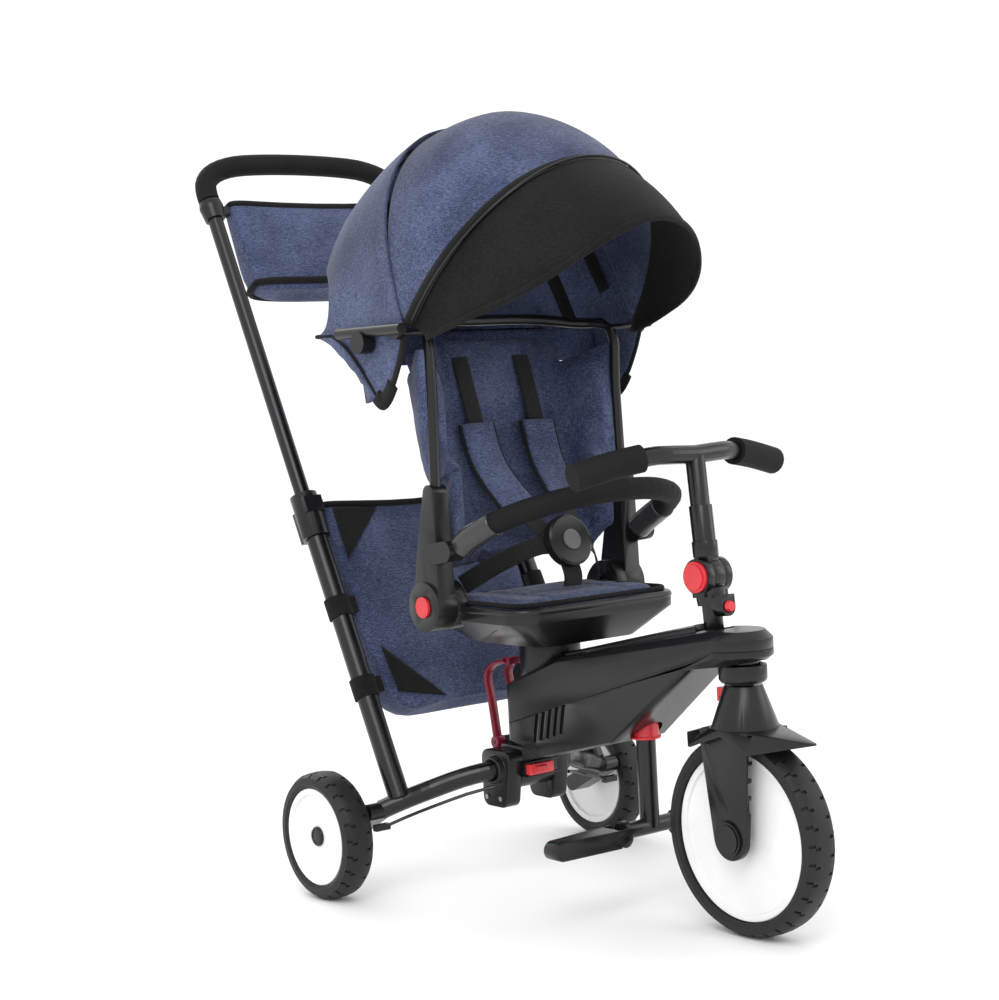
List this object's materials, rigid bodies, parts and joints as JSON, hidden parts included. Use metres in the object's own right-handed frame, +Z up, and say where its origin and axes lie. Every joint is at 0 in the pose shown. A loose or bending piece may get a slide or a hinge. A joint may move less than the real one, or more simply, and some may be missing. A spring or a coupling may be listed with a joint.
{
  "type": "folding push tricycle",
  "caption": "Toddler push tricycle with a swivel seat, fabric canopy, safety bar, parent push handle, storage bag and folding rear frame.",
  "frame": {"origin": "on the floor under the centre of the bounding box", "axes": "-Y forward to the front wheel, +X the rider's left, +Z up"},
  "size_m": [0.506, 1.0075, 0.9962],
  "materials": {
    "tyre": "ribbed matt rubber",
    "black_plastic": "fine satin grain",
    "black_metal": "satin powder coat",
    "red_plastic": "smooth",
    "claret_plastic": "smooth",
    "white_plastic": "smooth satin",
    "blue_fabric": "mottled weave",
    "black_fabric": "fine weave",
    "foam": "soft foam",
    "steel": "dark zinc"
  },
  "bodies": {
    "frame": {"body_upper_shell": "black_plastic", "body_lower_shell": "black_plastic", "spine_tube": "black_metal", "nose_collar": "black_plastic", "seat_column": "black_plastic", "hub_housing": "black_plastic", "hub_pin": "steel"},
    "fork": {"fork_crown": "black_plastic", "front_fork": "black_plastic", "front_fender": "black_plastic", "fork_hub_caps": "black_plastic", "front_axle": "steel"},
    "stem": {"stem_lower": "black_metal"},
    "front_wheel": {"front_tyre": "tyre", "front_disc": "white_plastic"},
    "fork_lock": {"fork_lock_lever": "red_plastic"},
    "stem_button": {"stem_lock_button": "red_plastic"},
    "handlebars": {"stem_upper": "black_metal", "handlebar": "black_metal", "handlebar_grips": "foam"},
    "knuckle_lock": {"knuckle_button": "red_plastic"},
    "footrest": {"footrest_post": "black_metal"},
    "footrest_release": {"footrest_collar": "red_plastic"},
    "platform_left": {"foot_platform_left": "black_plastic"},
    "platform_right": {"foot_platform_right": "black_plastic"},
    "rear_frame": {"rear_axle_tube": "black_metal", "hub_cheeks": "black_plastic", "cheek_screws": "steel", "lower_poles": "black_metal", "pole_clamps": "black_plastic", "brake_rods": "steel", "storage_bag": "blue_fabric", "bag_straps": "black_fabric"},
    "brake": {"brake_slider": "red_plastic"},
    "release_loop": {"fold_lever": "claret_plastic"},
    "clamp_key_left": {"clamp_button_left": "red_plastic"},
    "clamp_key_right": {"clamp_button_right": "red_plastic"},
    "rear_wheel_left": {"rear_tyre_left": "tyre", "rear_disc_left": "white_plastic"},
    "rear_wheel_right": {"rear_tyre_right": "tyre", "rear_disc_right": "white_plastic"},
    "push_handle": {"upper_poles": "black_metal", "pole_collars": "black_plastic", "push_grip": "foam", "handle_pouch": "blue_fabric"},
    "seat": {"seat_base": "black_plastic", "seat_pad": "blue_fabric"},
    "backrest": {"seat_uprights": "black_plastic", "back_pad": "blue_fabric", "safety_clips": "black_plastic", "harness": "black_fabric", "buckle": "black_plastic", "canopy_clamps": "black_plastic", "canopy_rear": "blue_fabric"},
    "hub_key_left": {"arm_button_left": "red_plastic"},
    "hub_key_right": {"arm_button_right": "red_plastic"},
    "child_bar": {"safety_bar": "foam"},
    "buckle_key": {"buckle_button": "steel"},
    "hood_front": {"canopy_front": "blue_fabric"},
    "hood_visor": {"canopy_visor": "black_fabric"}
  },
  "joints": [
    {"name": "steering", "type": "hinge", "parent": "frame", "child": "fork", "pos_m": [0, -0.38676, 0.246], "axis": [0, 0, 1], "range_deg": [-40, 40]},
    {"name": "stem_turn", "type": "hinge", "parent": "frame", "child": "stem", "pos_m": [0, -0.34376, 0.347], "axis": [0, 0.0958, 0.9954], "range_deg": [-45, 45]},
    {"name": "front_roll", "type": "hinge", "parent": "fork", "child": "front_wheel", "pos_m": [0, -0.38676, 0.117], "axis": [1, 0, 0], "continuous": true},
    {"name": "fork_lock_slide", "type": "slide", "parent": "fork", "child": "fork_lock", "axis": [0, 0, 1], "range_m": [0, 0.008]},
    {"name": "stem_button_press", "type": "slide", "parent": "stem", "child": "stem_button", "axis": [0, 0.9954, -0.0958], "range_m": [0, 0.003], "stiffness_N_per_m": 400},
    {"name": "handlebar_fold", "type": "hinge", "parent": "stem", "child": "handlebars", "pos_m": [0, -0.33743, 0.4127], "axis": [1, 0, 0], "range_deg": [0, 80]},
    {"name": "knuckle_press", "type": "slide", "parent": "stem", "child": "knuckle_lock", "axis": [1, 0, 0], "range_m": [0, 0.003], "stiffness_N_per_m": 400},
    {"name": "footrest_height", "type": "slide", "parent": "frame", "child": "footrest", "axis": [0, 0, 1], "range_m": [-0.015, 0.01]},
    {"name": "footrest_release_press", "type": "slide", "parent": "frame", "child": "footrest_release", "axis": [0, 0, 1], "range_m": [0, 0.006]},
    {"name": "platform_fold_left", "type": "hinge", "parent": "footrest", "child": "platform_left", "pos_m": [0.054, -0.21576, 0.099], "axis": [0, -1, 0], "range_deg": [0, 65]},
    {"name": "platform_fold_right", "type": "hinge", "parent": "footrest", "child": "platform_right", "pos_m": [-0.054, -0.21576, 0.099], "axis": [0, 1, 0], "range_deg": [0, 65]},
    {"name": "frame_fold", "type": "hinge", "parent": "frame", "child": "rear_frame", "pos_m": [0, 0.01924, 0.1505], "axis": [-1, 0, 0], "range_deg": [0, 60]},
    {"name": "brake_slide", "type": "slide", "parent": "frame", "child": "brake", "axis": [1, 0, 0], "range_m": [0, 0.008]},
    {"name": "release_pull", "type": "hinge", "parent": "frame", "child": "release_loop", "pos_m": [0, 0.04924, 0.1805], "axis": [-1, 0, 0], "range_deg": [0, 20], "stiffness_Nm_per_rad": 0.6, "springref_deg": -14.32},
    {"name": "clamp_press_left", "type": "slide", "parent": "rear_frame", "child": "clamp_key_left", "axis": [0, -0.8996, 0.4368], "range_m": [0, 0.002], "stiffness_N_per_m": 400},
    {"name": "clamp_press_right", "type": "slide", "parent": "rear_frame", "child": "clamp_key_right", "axis": [0, -0.8996, 0.4368], "range_m": [0, 0.002], "stiffness_N_per_m": 400},
    {"name": "rear_roll_left", "type": "hinge", "parent": "rear_frame", "child": "rear_wheel_left", "pos_m": [0.232, 0.14524, 0.0815], "axis": [1, 0, 0], "continuous": true},
    {"name": "rear_roll_right", "type": "hinge", "parent": "rear_frame", "child": "rear_wheel_right", "pos_m": [-0.232, 0.14524, 0.0815], "axis": [1, 0, 0], "continuous": true},
    {"name": "handle_height", "type": "slide", "parent": "rear_frame", "child": "push_handle", "axis": [0, 0.4368, 0.8996], "range_m": [-0.28, 0]},
    {"name": "seat_swivel", "type": "hinge", "parent": "frame", "child": "seat", "pos_m": [0, -0.04176, 0.372], "axis": [0, 0, 1], "range_deg": [0, 180]},
    {"name": "backrest_recline", "type": "hinge", "parent": "seat", "child": "backrest", "pos_m": [0, -0.00776, 0.376], "axis": [-1, 0, 0], "range_deg": [0, 10]},
    {"name": "hub_key_press_left", "type": "slide", "parent": "backrest", "child": "hub_key_left", "axis": [-1, 0, 0], "range_m": [0, 0.0018], "stiffness_N_per_m": 400},
    {"name": "hub_key_press_right", "type": "slide", "parent": "backrest", "child": "hub_key_right", "axis": [1, 0, 0], "range_m": [0, 0.0018], "stiffness_N_per_m": 400},
    {"name": "child_bar_lift", "type": "hinge", "parent": "backrest", "child": "child_bar", "pos_m": [0, -0.05176, 0.446], "axis": [-1, 0, 0], "range_deg": [0, 55]},
    {"name": "buckle_press", "type": "slide", "parent": "backrest", "child": "buckle_key", "axis": [0, 0.9511, -0.309], "range_m": [0, 0.0025], "stiffness_N_per_m": 400},
    {"name": "hood_open", "type": "hinge", "parent": "backrest", "child": "hood_front", "pos_m": [0, -0.02076, 0.714], "axis": [-1, 0, 0], "range_deg": [0, 40]},
    {"name": "visor_tilt", "type": "hinge", "parent": "hood_front", "child": "hood_visor", "pos_m": [0, -0.02076, 0.714], "axis": [-1, 0, 0], "range_deg": [-9, 0]}
  ],
  "couplings": [
    {"joint": "stem_turn", "follows": "steering", "ratio": 1}
  ]
}
